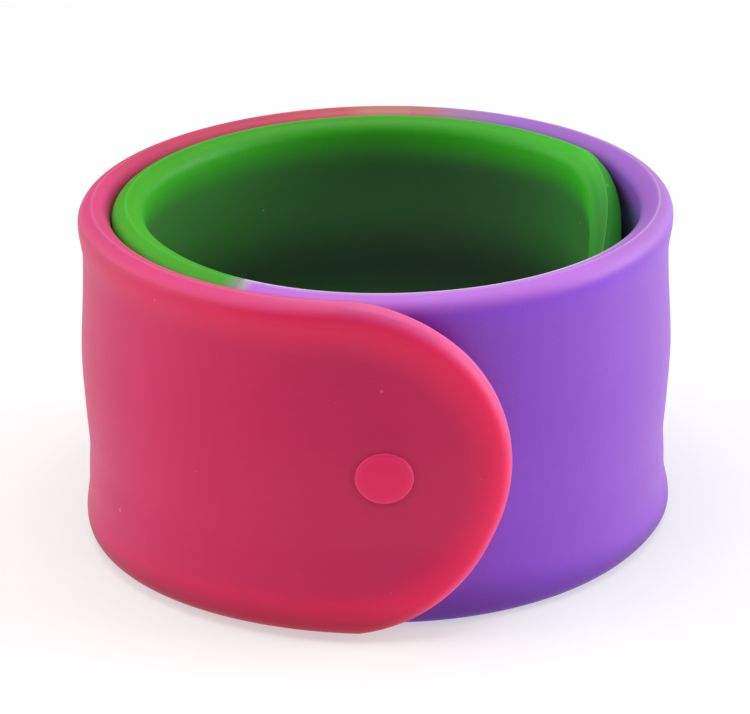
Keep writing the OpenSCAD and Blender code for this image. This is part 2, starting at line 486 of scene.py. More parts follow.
@dataclass
class Band:
    """The band's three sections, drawn flat. Sizes are in millimetres."""

    moulding: Moulding = field(default_factory=Moulding)
    plug: Plug = field(default_factory=Plug)
    step: float = 0.5
    arc_steps: int = 72
    corner_steps: int = 6
    rows: int = 31
    patch_length: float = 20.0
    patch_rings: int = 17
    hole_rings: int = 15
    hole_crowding: float = 0.8

    def spaced(self, start: float, end: float) -> np.ndarray:
        """Returns places from start to end, about one step apart."""
        return np.linspace(start, end, int(round(abs(end - start) / self.step)) + 1)

    def side(self, draft: Draft, along: np.ndarray, across: float) -> np.ndarray:
        """Sweeps the lanes along one straight side.

        Args:
            draft: what they are drawn in.
            along: the stations' places along the band.
            across: 1 for the upper side or -1 for the lower one.

        Returns:
            Numbers of the points, a row for each station and a column for each lane.
        """
        inset, out = self.moulding.lanes()
        height = across * (self.moulding.end_radius - inset)
        numbers = draft.add(along[:, None], height[None, :], out[None, :])
        draft.net(numbers)
        return numbers

    def round_side(self, draft: Draft, straight: np.ndarray, tip: float) -> np.ndarray:
        """Sweeps the lanes along both sides and round the end between them.

        The end is an arc a little flatter than half a circle, so it meets the sides at a slight corner.

        Args:
            draft: what they are drawn in.
            straight: the stations along each straight side, towards the tip.
            tip: place of the round tip along the band.

        Returns:
            Numbers of the points, a row for each station and a column for each lane.
        """
        inset, out = self.moulding.lanes()
        inward = 1.0 if straight[0] > tip else -1.0
        centre = tip + inward * self.moulding.tip_radius
        reach = self.moulding.tip_radius - inset
        half = self.moulding.end_radius - inset
        corner_turn = np.arccos(half / reach)
        corner = centre - inward * reach * np.sin(corner_turn)
        near = straight[-1] + (corner - straight[-1]) * np.linspace(0, 1, self.corner_steps)[1:-1, None]
        turn = corner_turn + (math.pi - 2 * corner_turn) * np.linspace(0, 1, self.arc_steps + 1)[:, None]
        side = np.concatenate([np.repeat(straight[:, None], len(inset), 1), near])
        level = np.repeat(half[None, :], len(side), 0)
        along = np.concatenate([side, centre - inward * reach * np.sin(turn), side[::-1]])
        across = np.concatenate([level, reach * np.cos(turn), -level])
        numbers = draft.add(along, across, out[None, :])
        draft.net(numbers)
        return numbers

    def straight(self, draft: Draft, upper: np.ndarray, lower: np.ndarray, along: np.ndarray) -> np.ndarray:
        """Fills both faces between the two edges of a straight stretch.

        Args:
            draft: what they are drawn in.
            upper: the upper edge's points, a row for each place along.
            lower: the lower edge's points in the same order.
            along: the places along the band.

        Returns:
            Numbers of the points across, by side (outer, inner), place and row from the upper edge down.
        """
        half = self.moulding.end_radius - self.moulding.inner_inset
        across = np.linspace(half, -half, self.rows)[1:-1]
        flat = self.moulding.half_core
        sides = []
        for lane, out in ((0, flat), (-1, -flat)):
            inside = draft.add(along[:, None], across[None, :], out)
            rows = np.concatenate([upper[:, [lane]], inside, lower[:, [lane]]], 1)
            draft.net(rows)
            sides.append(rows)
        return np.stack(sides)

    def cut(self, draft: Draft, upper: np.ndarray, lower: np.ndarray, across: np.ndarray) -> None:
        """Closes a section at a flat cut by one face.

        Args:
            draft: what it is drawn in.
            upper: the upper edge's points there.
            lower: the lower edge's points.
            across: the points across the two faces.
        """
        outer, inner = (side[1:-1].tolist() for side in across)
        draft.faces.append((*upper.tolist(), *inner, *lower[::-1].tolist(), *outer[::-1]))

    def patch(self, draft: Draft, border: np.ndarray, centre: tuple[float, float], out: float,
              hole: Plug | None) -> None:
        """Fills the face of a round end with rings about a centre.

        Args:
            draft: what they are drawn in.
            border: numbers of the points around it.
            centre: place of the rings' centre, along and across.
            out: the face's distance from the middle of the wall.
            hole: the plug whose recess is in the middle, or None.
        """
        points = np.concatenate(draft.points)[border, :2]
        offsets = points - centre
        angles = np.arctan2(offsets[:, 1], offsets[:, 0])
        core = 0.0 if hole is None else hole.bore + hole.mouth
        core_points = np.array(centre) + core * np.stack([np.cos(angles), np.sin(angles)], -1)
        shares = np.linspace(0, 1, self.patch_rings + 2)[1:-1]
        if hole is not None:
            shares = np.linspace(0, 1, self.hole_rings + 2)[1:-1] ** self.hole_crowding
        rings = [border]
        for share in shares:
            ring = points + (core_points - points) * share
            rings.append(draft.add(ring[:, 0], ring[:, 1], out))
        if hole is None:
            draft.net(np.stack(rings, 1), closed=True)
            draft.fan(rings[-1], int(draft.add(*centre, out)))
            return
        rings.append(draft.add(core_points[:, 0], core_points[:, 1], out))
        draft.net(np.stack(rings, 1), closed=True)
        hole.recess(draft, rings[-1], angles)

    def end(self, cut_at: float, tip: float, plug: Plug | None) -> Draft:
        """Draws a section that is round at one end.

        Args:
            cut_at: place of its flat cut along the band.
            tip: place of its round tip.
            plug: the plug near that tip, or None.

        Returns:
            The draft.
        """
        draft = Draft()
        inward = 1.0 if cut_at > tip else -1.0
        middle = tip + inward * self.moulding.tip_radius
        start = tip + inward * self.patch_length
        run = self.spaced(cut_at, start)
        rest = self.spaced(start, middle)[1:]
        edge = self.round_side(draft, np.concatenate([run, rest]), tip)
        upper, lower = edge[:len(run)], edge[::-1][:len(run)]
        faces = self.straight(draft, upper, lower, run)
        self.cut(draft, upper[0], lower[0], faces[:, 0])
        around = edge[len(run) - 1:len(edge) - len(run) + 1]
        flat = self.moulding.half_core
        for side, lane, out in ((0, 0, flat), (1, -1, -flat)):
            border = np.concatenate([around[:, lane], faces[side][-1][1:-1][::-1]])
            with_hole = plug if side == 0 else None
            centre = (plug.inset, 0.0) if with_hole else (middle, 0.0)
            self.patch(draft, border, centre, out, with_hole)
        return draft

    def middle(self, start: float, end: float) -> Draft:
        """Draws a section that is cut at both ends.

        Args:
            start: place of its first cut along the band.
            end: place of its second cut.

        Returns:
            The draft.
        """
        draft = Draft()
        along = self.spaced(start, end)
        upper = self.side(draft, along, 1.0)
        lower = self.side(draft, along, -1.0)
        faces = self.straight(draft, upper, lower, along)
        for place in (0, -1):
            self.cut(draft, upper[place], lower[place], faces[:, place])
        return draft

    def meshes(self) -> dict[Section, bpy.types.Mesh]:
        """Draws all three sections.

        Returns:
            Their meshes, in their places on the flat band.
        """
        size = self.moulding
        drafts = {
            Section.PINK: self.end(size.end_section, 0.0, self.plug),
            Section.PURPLE: self.middle(size.end_section, size.second_joint),
            Section.GREEN: self.end(size.second_joint, size.length, None),
        }
        return {section: draft.mesh(f"{section.value}_flat") for section, draft in drafts.items()}


@dataclass(frozen=True)
class Bow:
    """A bow of the wall: both faces swing inwards at a height, or outwards below zero, in millimetres."""

    height: float
    inwards: float
    spread: float


@dataclass
class Coil:
    """The coil that the flat band is wound into, as a Geometry Nodes tree.

    Sizes are in millimetres and degrees.
    """

    radius: float = 22.4
    pitch: float = 2.5
    outer_end: float = -68.0
    curl_start: float = 221.0
    curl_depth: float = 2.5
    lean_side: float = -148.0
    lean_angle: float = 2.5
    lean_spread: float = 30.0
    lift_height: float = 0.5
    lift_length: float = 50.0
    flare_side: float = -8.0
    flare_distance: float = 0.25
    flare_spread: float = 15.0
    flare_height: float = 3.0
    bows: tuple[Bow, ...] = (Bow(-5.8, 0.12, 1.6), Bow(1.1, -0.27, 3.8), Bow(9.0, 0.08, 3.0))
    moulding: Moulding = field(default_factory=Moulding)

    def sizes(self) -> dict[str, float]:
        """Names the tree's inputs.

        Returns:
            Their values, in millimetres and radians.
        """
        return {
            "Coil Radius": self.radius,
            "Turn Pitch": self.pitch,
            "Outer End": math.radians(self.outer_end),
            "Curl Start": self.curl_start,
            "Curl Depth": self.curl_depth,
            "Lean Side": math.radians(self.lean_side),
            "Lean Angle": math.radians(self.lean_angle),
            "Lean Spread": math.radians(self.lean_spread),
            "Lift Height": self.lift_height,
            "Lift Length": self.lift_length,
            "Flare Side": math.radians(self.flare_side),
            "Flare Distance": self.flare_distance,
            "Flare Spread": math.radians(self.flare_spread),
            "Flare Height": self.flare_height,
            "Half Width": self.moulding.end_radius,
            "Band Length": self.moulding.length,
        }

    def tree(self) -> bpy.types.NodeTree:
        """Builds the tree that winds a flat piece and keeps its flat place as an attribute.

        Returns:
            The tree, with a named input for each size.
        """
        tree = bpy.data.node_groups.new("wind_band", "GeometryNodeTree")
        tree.interface.new_socket("Geometry", in_out="INPUT", socket_type="NodeSocketGeometry")
        for name in self.sizes():
            tree.interface.new_socket(name, in_out="INPUT", socket_type="NodeSocketFloat")
        tree.interface.new_socket("Material", in_out="INPUT", socket_type="NodeSocketMaterial")
        tree.interface.new_socket("Geometry", in_out="OUTPUT", socket_type="NodeSocketGeometry")
        graph = Graph(tree)
        entry = tree.nodes.new("NodeGroupInput")
        size = {name: Wire(graph, entry.outputs[name]) for name in self.sizes()}

        flat = graph.scaled(graph.wire("GeometryNodeInputPosition"), 1 / MM)
        along, across, out = graph.parts(flat)
        wound, radius, slope = self.winding(graph, size, along)
        heading = size["Outer End"] - wound
        normal_heading = heading + graph.maths("ARCTAN2", slope, radius)
        lean_turn = self.turn_between(graph, heading, size["Lean Side"])
        lean = size["Lean Angle"] * graph.bell(lean_turn, size["Lean Spread"])
        lifted = self.eased(graph, along / size["Lift Length"])
        height = size["Half Width"] + size["Lift Height"] * (1.0 - lifted)
        low = self.eased(graph, (size["Flare Height"] - size["Half Width"] - across) / size["Flare Height"])
        flare_turn = self.turn_between(graph, heading, size["Flare Side"])
        swing = size["Flare Distance"] * graph.bell(flare_turn, size["Flare Spread"]) * low
        for bow in self.bows:
            swing = swing - bow.inwards * graph.bell(across - bow.height, bow.spread)

        cos_lean = graph.maths("COSINE", lean)
        sin_lean = graph.maths("SINE", lean)
        face = out + swing
        outwards = face * cos_lean - across * sin_lean
        x = radius * graph.maths("COSINE", heading) + outwards * graph.maths("COSINE", normal_heading)
        y = radius * graph.maths("SINE", heading) + outwards * graph.maths("SINE", normal_heading)
        z = height + across * cos_lean + face * sin_lean
        place = graph.scaled(graph.vector(x, y, z), MM)

        kept = graph.node("GeometryNodeStoreNamedAttribute", {"data_type": "FLOAT_VECTOR", "domain": "POINT"},
                          Name=FLAT_PLACE)
        tree.links.new(entry.outputs["Geometry"], kept.inputs["Geometry"])
        tree.links.new(flat.socket, kept.inputs["Value"])
        moved = graph.wire("GeometryNodeSetPosition", Geometry=Wire(graph, kept.outputs[0]), Position=place)
        real = graph.wire("GeometryNodeRealizeInstances", Geometry=moved)
        dressed = graph.wire("GeometryNodeSetMaterial", Geometry=real,
                             Material=Wire(graph, entry.outputs["Material"]))
        leave = tree.nodes.new("NodeGroupOutput")
        tree.links.new(dressed.socket, leave.inputs["Geometry"])
        return tree

    def winding(self, graph: Graph, size: dict[str, Wire], along: Wire) -> tuple[Wire, Wire, Wire]:
        """Works out the spiral.

        Args:
            graph: the tree's graph.
            size: the tree's sizes.
            along: the distance from the outer end.

        Returns:
            The angle wound, the radius there and its change for each radian, in millimetres and radians.
        """
        gain = size["Turn Pitch"] / (2 * math.pi)

        def angle(place: Wire) -> Wire:
            """Angle wound to a length along the plain spiral."""
            left = size["Coil Radius"] ** 2 - 2 * gain * place
            return (size["Coil Radius"] - graph.maths("SQRT", left)) / gain

        wound = angle(along)
        curl_start = angle(size["Curl Start"])
        curl_sweep = angle(size["Band Length"]) - curl_start
        share = graph.maths("MAXIMUM", (wound - curl_start) / curl_sweep, 0.0)
        radius = size["Coil Radius"] - gain * wound - size["Curl Depth"] * share * share
        slope = -gain - 2 * size["Curl Depth"] * share / curl_sweep
        return wound, radius, slope

    @staticmethod
    def turn_between(graph: Graph, first: Wire, second: Wire) -> Wire:
        """Returns the angle between two directions, from minus to plus half a turn."""
        return graph.maths("WRAP", first - second, math.pi, -math.pi)

    @staticmethod
    def eased(graph: Graph, share: Wire) -> Wire:
        """Eases a share from 0 to 1 in and out."""
        return graph.smooth(share, 0.0, 1.0)

    def wind(self, flat: bpy.types.Mesh, name: str, material: bpy.types.Material,
             tree: bpy.types.NodeTree) -> bpy.types.Object:
        """Winds a flat mesh and returns it as a plain object.

        Args:
            flat: the mesh as moulded.
            name: the piece's name.
            material: its finish.
            tree: the winding tree.

        Returns:
            The wound piece, with no modifier left.
        """
        draft = bpy.data.objects.new(f"{name}_draft", flat)
        bpy.context.scene.collection.objects.link(draft)
        winder = draft.modifiers.new("wind", "NODES")
        winder.node_group = tree
        values = {**self.sizes(), "Material": material}
        for item in tree.interface.items_tree:
            if item.in_out == "INPUT" and item.name in values:
                winder[item.identifier] = values[item.name]
        bpy.context.view_layer.update()
        evaluated = draft.evaluated_get(bpy.context.evaluated_depsgraph_get())
        mesh = bpy.data.meshes.new_from_object(evaluated)
        mesh.name = name
        bpy.data.objects.remove(draft)
        bpy.data.meshes.remove(flat)
        piece = bpy.data.objects.new(name, mesh)
        bpy.context.scene.collection.objects.link(piece)
        return piece


@dataclass(frozen=True)
class ColourRun:
    """A colour that changes along the band, as stops of (place along in millimetres, colour)."""

    stops: tuple[tuple[float, Colour], ...]

    def at(self, place: float) -> Colour:
        """Returns the colour at a place."""
        places = [at for at, _ in self.stops]
        channels = zip(*[colour for _, colour in self.stops])
        return tuple(float(np.interp(place, places, channel)) for channel in channels)

    def wire(self, graph: Graph, along: Wire, start: float, end: float) -> Wire:
        """Adds the colour between two places to a graph.

        Args:
            graph: the material's graph.
            along: the distance along the band.
            start: where the piece starts.
            end: where it ends.

        Returns:
            The colour.
        """
        inside = [(at, colour) for at, colour in self.stops if start < at < end]
        stops = [(start, self.at(start)), *inside, (end, self.at(end))]
        shares = [((at - start) / (end - start), colour) for at, colour in stops]
        return graph.ramp((along - start) / (end - start), shares)


@dataclass(frozen=True)
class BandColours:
    """How the silicone's colours run from pink by salmon and mauve to purple, and by a grey smear to green.

    The crown is the very edge, the border is the solid silicone next to it, and the core is the face inside
    the lip, which is darker on the inner face. The stops hold painted light and shade as well as the
    silicone's own colour: within one section they rise and fall along the band with the light on each
    stretch, and the crown and the border are lighter partly by painted highlight.
    """

    crown: ColourRun = ColourRun((
        (8.0, (0.78, 0.070, 0.25)),
        (24.0, (0.87, 0.070, 0.25)),
        (34.0, (0.76, 0.076, 0.23)),
        (44.0, (0.78, 0.075, 0.24)),
        (54.0, (0.64, 0.065, 0.15)),
        (68.0, (0.60, 0.075, 0.13)),
        (73.5, (0.60, 0.11, 0.14)),
        (75.5, (0.60, 0.21, 0.18)),
        (80.2, (0.58, 0.22, 0.20)),
        (82.5, (0.46, 0.26, 0.40)),
        (84.5, (0.44, 0.24, 0.52)),
        (87.5, (0.47, 0.205, 0.69)),
        (118.0, (0.46, 0.195, 0.64)),
        (128.0, (0.58, 0.19, 0.82)),
        (149.8, (0.58, 0.19, 0.82)),
        (150.4, (0.50, 0.42, 0.60)),
        (151.0, (0.27, 0.36, 0.27)),
        (152.3, (0.066, 0.44, 0.026)),
        (160.0, (0.080, 0.48, 0.031)),
        (170.0, (0.078, 0.46, 0.030)),
        (182.0, (0.062, 0.39, 0.024)),
        (198.0, (0.062, 0.37, 0.024)),
        (208.0, (0.066, 0.44, 0.028)),
        (218.0, (0.072, 0.53, 0.034)),
        (221.0, (0.070, 0.52, 0.034)),
        # Painted shade: the crown of the curled green tip is darker where it lies in shade.
        (223.0, (0.050, 0.43, 0.030)),
        (224.6, (0.035, 0.35, 0.025)),
        (228.0, (0.031, 0.29, 0.022)),
    ))
    border: ColourRun = ColourRun((
        (10.0, (0.95, 0.013, 0.105)),
        (18.0, (0.84, 0.012, 0.095)),
        (28.0, (0.74, 0.010, 0.10)),
        (36.0, (0.62, 0.008, 0.11)),
        (71.0, (0.68, 0.013, 0.10)),
        (74.5, (0.66, 0.06, 0.11)),
        (76.5, (0.60, 0.09, 0.17)),
        (80.2, (0.54, 0.10, 0.25)),
        (82.5, (0.44, 0.11, 0.38)),
        (87.5, (0.265, 0.067, 0.59)),
        (118.0, (0.28, 0.072, 0.60)),
        (128.0, (0.275, 0.058, 0.68)),
        (149.8, (0.275, 0.058, 0.68)),
        (150.4, (0.34, 0.28, 0.45)),
        (151.0, (0.20, 0.30, 0.20)),
        (152.3, (0.042, 0.45, 0.013)),
        (200.0, (0.038, 0.42, 0.012)),
        (218.0, (0.046, 0.56, 0.017)),
    ))
    outer_core: ColourRun = ColourRun((
        (21.0, (0.67, 0.010, 0.093)),
        (28.0, (0.655, 0.008, 0.102)),
        (36.0, (0.60, 0.006, 0.125)),
        (65.0, (0.60, 0.008, 0.11)),
        (74.0, (0.58, 0.026, 0.15)),
        (79.0, (0.50, 0.050, 0.26)),
        (83.0, (0.38, 0.068, 0.42)),
        (87.5, (0.28, 0.082, 0.55)),
        (118.0, (0.285, 0.080, 0.56)),
        (128.0, (0.27, 0.066, 0.62)),
        (149.8, (0.27, 0.066, 0.62)),
        (151.0, (0.15, 0.20, 0.20)),
        (152.3, (0.04, 0.30, 0.012)),
    ))
    inner_core: ColourRun = ColourRun((
        (71.0, (0.30, 0.020, 0.06)),
        (78.0, (0.20, 0.06, 0.10)),
        (87.5, (0.10, 0.105, 0.30)),
        (149.8, (0.10, 0.105, 0.30)),
        (151.0, (0.09, 0.11, 0.12)),
        (152.3, (0.040, 0.20, 0.032)),
        (186.0, (0.040, 0.21, 0.030)),
        (197.0, (0.039, 0.175, 0.034)),
        (206.0, (0.040, 0.135, 0.038)),
        (212.0, (0.041, 0.150, 0.040)),
        (220.0, (0.046, 0.25, 0.042)),
    ))


@dataclass(frozen=True)
class SiliconeFinish:
    """Matt moulded silicone rubber: fine grain along the band, faint clouds, pores and a little dust.

    Distances are in millimetres, and a scale is a pattern's count of cells for each of them.
    """

    name: str
    roughness: float = 0.5
    roughness_swing: float = 0.08
    refraction: float = 1.43
    specular: float = 0.42
    sheen: float = 0.09
    sheen_roughness: float = 0.4
    grain_scale: tuple[float, float, float] = (0.25, 2.2, 1.0)
    grain_detail: float = 4.0
    grain_share: float = 0.07
    cloud_scale: float = 0.12
    cloud_detail: float = 2.0
    cloud_share: float = 0.10
    dust_scale: float = 0.42
    dust_least: float = 0.4
    dust_radius: float = 0.04
    dust_blur: float = 0.03
    dust_share: float = 0.13
    dust_colour: Colour = (1.0, 0.95, 0.95)
    pore_scale: float = 5.0
    pore_detail: float = 3.0
    pore_share: float = 0.6
    bump_strength: float = 0.12
    bump_depth: float = 0.2

    def colour(self, graph: Graph, place: Wire) -> Wire:
        """Returns the silicone's colour before grain and dust, with any painted highlights and shades.

        Args:
            graph: the material's graph.
            place: the place on the flat band, in millimetres.

        Returns:
            The colour.
        """
        raise NotImplementedError

    def dust(self, graph: Graph, place: Wire) -> Wire:
        """Scatters the dust: some cells of a pattern hold a speck, each of its own size.

        Args:
            graph: the material's graph.
            place: the place on the flat band.

        Returns:
            A mask that is 1 on the specks.
        """
        cells = graph.node("ShaderNodeTexVoronoi", {"feature": "F1"}, Vector=place, Scale=self.dust_scale)
        chance = graph.parts(Wire(graph, cells.outputs["Color"]))[0]
        reach = self.dust_radius * graph.smooth(chance, self.dust_least, 1.0)
        return 1.0 - graph.smooth(Wire(graph, cells.outputs["Distance"]) - reach, 0.0, self.dust_blur)

    def make(self) -> bpy.types.Material:
        """Builds the material.

        Returns:
            The material, whose patterns follow the flat band's place.
        """
        material = bpy.data.materials.new(self.name)
        material.use_nodes = True
        material.node_tree.nodes.clear()
        graph = Graph(material.node_tree)
        place = graph.wire("ShaderNodeAttribute", {"attribute_name": FLAT_PLACE}, output="Vector")
        grain = graph.noise(graph.stretched(place, self.grain_scale), 1.0, self.grain_detail)
        cloud = graph.noise(place, self.cloud_scale, self.cloud_detail)
        pores = graph.noise(place, self.pore_scale, self.pore_detail)

        shade = 1.0 + self.grain_share * (grain - NOISE_MEAN) + self.cloud_share * (cloud - NOISE_MEAN)
        body = graph.shaded(self.colour(graph, place), shade)
        body = graph.mixed(self.dust(graph, place) * self.dust_share, body, self.dust_colour)
        relief = self.pore_share * pores + (1.0 - self.pore_share) * grain
        shader = graph.wire(
            "ShaderNodeBsdfPrincipled",
            Base_Color=body,
            Roughness=self.roughness + self.roughness_swing * (grain - NOISE_MEAN),
            IOR=self.refraction,
            Specular_IOR_Level=self.specular,
            Sheen_Weight=self.sheen,
            Sheen_Roughness=self.sheen_roughness,
            Normal=graph.wire("ShaderNodeBump", Strength=self.bump_strength, Distance=self.bump_depth * MM,
                              Height=relief),
        )
        graph.node("ShaderNodeOutputMaterial", Surface=shader)
        return material


@dataclass(frozen=True)
class Span:
    """A stretch over which something grows from nothing at its start to its full strength at its end."""

    start: float
    end: float

    def grown(self, graph: Graph, value: Wire) -> Wire:
        """Returns the share that has grown at a value."""
        return graph.smooth(value, self.start, self.end)

    def faded(self, graph: Graph, value: Wire) -> Wire:
        """Returns the share that is left at a value."""
        return 1.0 - self.grown(graph, value)


@dataclass(frozen=True)
class Spot:
    """A place on the flat band, as a section's shader reads it.

    Beside the place itself it has the distance in from the band's outline, the height above the lower edge,
    and a mask that is 1 on the outer side.
    """

    along: Wire
    across: Wire
    out: Wire
    inset: Wire
    low: Wire
    outer_side: Wire


@dataclass(frozen=True)
class CrownHighlight:
    """Painted highlight: the pale crown of the edge, whose width changes evenly from a section's start to its
    end.

    It is deeper on the inner side by a share, and ends above the lower edge.
    """

    full: float = 0.1
    widths: tuple[float, float] = (1.1, 1.1)
    deeper_inside: float = 0.0
    above: Span = Span(0.8, 5.0)

    def mask(self, graph: Graph, spot: Spot, share: Wire) -> Wire:
        """Returns where the crown is, for a share of the way along the section."""
        width = self.widths[0] + (self.widths[1] - self.widths[0]) * share
        return (1.0 - graph.smooth(spot.inset, self.full, width)) * self.above.grown(graph, spot.low)


@dataclass(frozen=True)
class HighlightLine:
    """A thin light line along the crown, at a distance out from the middle of the wall. It is a painted
    highlight; on the parting ridge it is partly the thin flash's own paler tone as well.
    """

    colour: Colour
    share: float
    out: float
    spread: float
    growth: Span | None = None

    def mask(self, graph: Graph, spot: Spot) -> Wire:
        """Returns the line's share, which grows along the band where it has a growth."""
        line = graph.bell(spot.out - self.out, self.spread) * self.share
        return line if self.growth is None else line * self.growth.grown(graph, spot.along)


@dataclass(frozen=True)
class TipHighlight:
    """Painted highlight: the light line on the very edge of the outer tip, which dies away along the straight
    sides.
    """

    colour: Colour = (1.0, 0.28, 0.62)
    share: float = 0.24
    edge: Span = Span(0.0, 0.2)
    sides: Span = Span(10.0, 24.0)

    def mask(self, graph: Graph, spot: Spot, above: Span) -> Wire:
        """Returns the line's share, above the lower edge."""
        line = self.edge.faded(graph, spot.inset) * self.sides.faded(graph, spot.along)
        return line * above.grown(graph, spot.low) * self.share


@dataclass(frozen=True)
class PaintedCreaseShade:
    """Painted shade: the darker line in the crease of the outer face, from beyond the tip to before the
    smear.
    """

    shade: float = 0.14
    inset: float = 0.75
    spread: float = 0.13
    first: Span = Span(16.0, 28.0)
    last: Span = Span(56.0, 76.0)

    def left(self, graph: Graph, spot: Spot) -> Wire:
        """Returns the share of light that it leaves."""
        line = graph.bell(spot.inset - self.inset, self.spread) * spot.outer_side
        line = line * self.first.grown(graph, spot.along) * self.last.faded(graph, spot.along)
        return 1.0 - self.shade * line


@dataclass(frozen=True)
class PaintedFootShade:
    """Painted shade near the floor: the darker lower edge, whose height changes over a turn along the band.
    """

    shade: float = 0.45
    full: float = 0.5
    heights: tuple[float, float] = (2.6, 2.6)
    turn: Span = Span(116.0, 134.0)

    def left(self, graph: Graph, spot: Spot) -> Wire:
        """Returns the share of light that it leaves."""
        height = self.heights[0] + (self.heights[1] - self.heights[0]) * self.turn.grown(graph, spot.along)
        return 1.0 - self.shade * (1.0 - graph.smooth(spot.low, self.full, height))


@dataclass(frozen=True)
class Halo:
    """The faint shade round the plug."""

    centre: float
    shade: float = 0.1
    radius: float = 2.1
    spread: float = 0.24

    def left(self, graph: Graph, spot: Spot) -> Wire:
        """Returns the share of light that it leaves."""
        from_centre = graph.distance(spot.along - self.centre, spot.across)
        return 1.0 - self.shade * graph.bell(from_centre - self.radius, self.spread)


@dataclass(frozen=True)
class SectionFinish(SiliconeFinish):
    """The silicone of one section of the band, between two places along it. Distances are in millimetres."""

    start: float = 0.0
    end: float = Moulding.length
    colours: BandColours = BandColours()
    moulding: Moulding = Moulding()
    side_blend: float = 0.3
    core: Span = Span(1.3, 4.0)
    middle: Span = Span(6.5, 12.5)
    middle_shade: float = 0.3
    crown: CrownHighlight = CrownHighlight()
    lines: tuple[HighlightLine, ...] = ()
    line_width: Span = Span(0.1, 0.5)
    line_gap: Span = Span(0.0, 8.0)
    tip_highlight: TipHighlight | None = None
    # Painted shades, which darken the colour by multiplying it.
    shades: tuple[PaintedFootShade | PaintedCreaseShade | Halo, ...] = ()

    def spot(self, graph: Graph, place: Wire) -> Spot:
        """Works out what the finish needs to know of a place.

        Args:
            graph: the material's graph.
            place: the place on the flat band.

        Returns:
            The place, as the finish reads it.
        """
        along, across, out = graph.parts(place)
        radius = self.moulding.end_radius
        near = graph.maths("MAXIMUM", radius - along, along - (self.moulding.length - radius))
        beyond = graph.maths("MAXIMUM", near, 0.0)
        inset = radius - graph.distance(beyond, across)
        outer_side = graph.smooth(out, -self.side_blend, self.side_blend)
        return Spot(along, across, out, inset, across + radius, outer_side)

    def silicone(self, graph: Graph, spot: Spot) -> Wire:
        """Mixes the crown, the border and the two faces' cores by the distance in from the edge.

        Args:
            graph: the material's graph.
            spot: the place.

        Returns:
            The silicone's colour, with its painted crown highlight and inner shade, before its lines and
            shades.
        """
        runs = self.colours
        crown, border, outer_core, inner_core = (
            run.wire(graph, spot.along, self.start, self.end)
            for run in (runs.crown, runs.border, runs.outer_core, runs.inner_core)
        )
        # Painted shade: the inner face's colour falls to middle_shade of itself towards the middle of its
        # height.
        middle_light = 1.0 - (1.0 - self.middle_shade) * self.middle.grown(graph, spot.inset)
        core = graph.mixed(spot.outer_side, graph.shaded(inner_core, middle_light), outer_core)
        body = graph.mixed(self.core.grown(graph, spot.inset), border, core)
        crown = graph.mixed((1.0 - spot.outer_side) * self.crown.deeper_inside, crown, border)
        share = (spot.along - self.start) / (self.end - self.start)
        return graph.mixed(self.crown.mask(graph, spot, share), body, crown)

    def lined(self, graph: Graph, spot: Spot, body: Wire) -> Wire:
        """Draws the light lines along the crown, partly painted highlight, with a gap at the smear from pink
        to purple, and the painted highlight on the tip's edge.

        Args:
            graph: the material's graph.
            spot: the place.
            body: the colour that they are drawn over.

        Returns:
            The colour with its lines.
        """
        from_smear = graph.maths("ABSOLUTE", spot.along - self.moulding.end_section)
        shown = self.line_width.faded(graph, spot.inset) * self.line_gap.grown(graph, from_smear)
        for line in self.lines:
            body = graph.mixed(line.mask(graph, spot) * shown, body, line.colour)
        if self.tip_highlight is None:
            return body
        return graph.mixed(self.tip_highlight.mask(graph, spot, self.crown.above), body, self.tip_highlight.colour)

    def colour(self, graph: Graph, place: Wire) -> Wire:
        """Lays the silicone, the light lines and the painted shades over each other.

        Args:
            graph: the material's graph.
            place: the place on the flat band.

        Returns:
            The colour.
        """
        spot = self.spot(graph, place)
        body = self.lined(graph, spot, self.silicone(graph, spot))
        for shade in self.shades:
            body = graph.shaded(body, shade.left(graph, spot))
        return body


@dataclass(frozen=True)
class PlugFinish(SiliconeFinish):
    """The plug's silicone, paler round its edge by a painted highlight on the shoulder. Distances are in
    millimetres.
    """

    centre: float = Plug.inset
    face: Colour = (0.97, 0.013, 0.115)
    edge: Colour = (0.94, 0.025, 0.15)
    edge_highlight_span: Span = Span(1.3, 1.75)

    def colour(self, graph: Graph, place: Wire) -> Wire:
        """Mixes the face's colour into the edge's.

        Args:
            graph: the material's graph.
            place: the place on the flat band.

        Returns:
            The colour.
        """
        along, across, _ = graph.parts(place)
        radius = graph.distance(along - self.centre, across)
        return graph.mixed(self.edge_highlight_span.grown(graph, radius), self.face, self.edge)


